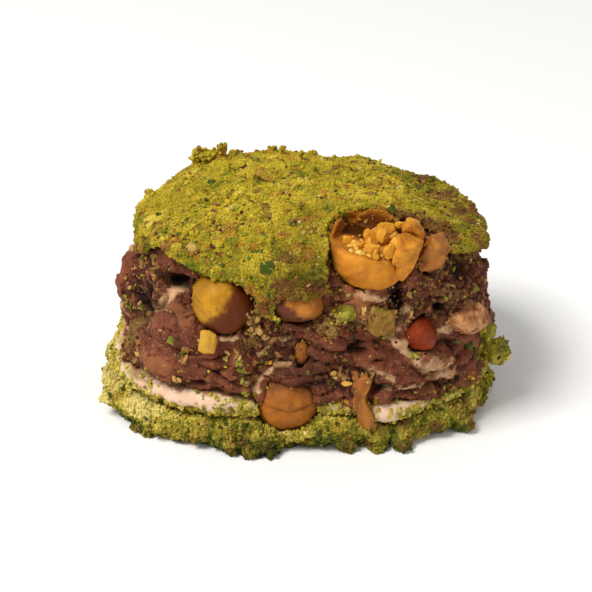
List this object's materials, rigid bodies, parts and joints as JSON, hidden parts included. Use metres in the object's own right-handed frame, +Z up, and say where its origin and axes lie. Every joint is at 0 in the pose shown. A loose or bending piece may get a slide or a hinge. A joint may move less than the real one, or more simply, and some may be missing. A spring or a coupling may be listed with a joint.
{
  "type": "chocolate hazelnut lokum piece",
  "caption": "Square-cut piece of layered chocolate hazelnut lokum: ground pistachio bed, white nougat sheet, craggy chocolate filling with hazelnuts and a domed pistachio-coated skin.",
  "frame": {"origin": "middle of the flat underside of the pistachio bed, which the piece rests on", "axes": "+Z up through the layers, +X to the right along the longer side, and -Y out of the cut face with the broken-open hazelnut"},
  "size_m": [0.0618, 0.0467, 0.034],
  "materials": {
    "pistachio": null,
    "nougat": "soft white nougat, faintly pink, satin",
    "chocolate": "dense chocolate fudge, craggy and satin, marbled with pale nougat",
    "hazelnut": "skinned golden hazelnut kernel, satin and slightly translucent",
    "toasted_hazelnut": "toasted hazelnut kernel, amber brown, moist and faintly glossy",
    "hazelnut_skin": "hazelnut kernel in its red-brown papery skin"
  },
  "bodies": {
    "root": {"pistachio_bed": "pistachio", "nougat_sheet": "nougat", "chocolate_filling": "chocolate", "pistachio_skin": "pistachio", "hazelnut_low": "toasted_hazelnut", "hazelnut_left": "hazelnut", "hazelnut_middle": "hazelnut", "hazelnut_open": "hazelnut", "hazelnut_red": "hazelnut_skin", "kernel_slip": "toasted_hazelnut", "hazelnut_back_low": "toasted_hazelnut", "hazelnut_back_high": "hazelnut", "hazelnut_back_right": "hazelnut", "hazelnut_side_left": "toasted_hazelnut", "hazelnut_side_right": "hazelnut", "nougat_lump": "nougat", "shard_wedge": "hazelnut", "shard_right": "hazelnut", "shard_upper": "hazelnut", "shard_block": "hazelnut", "sliver": "toasted_hazelnut", "chip_yellow": "hazelnut", "pistachio_bit": "pistachio"}
  },
  "joints": []
}
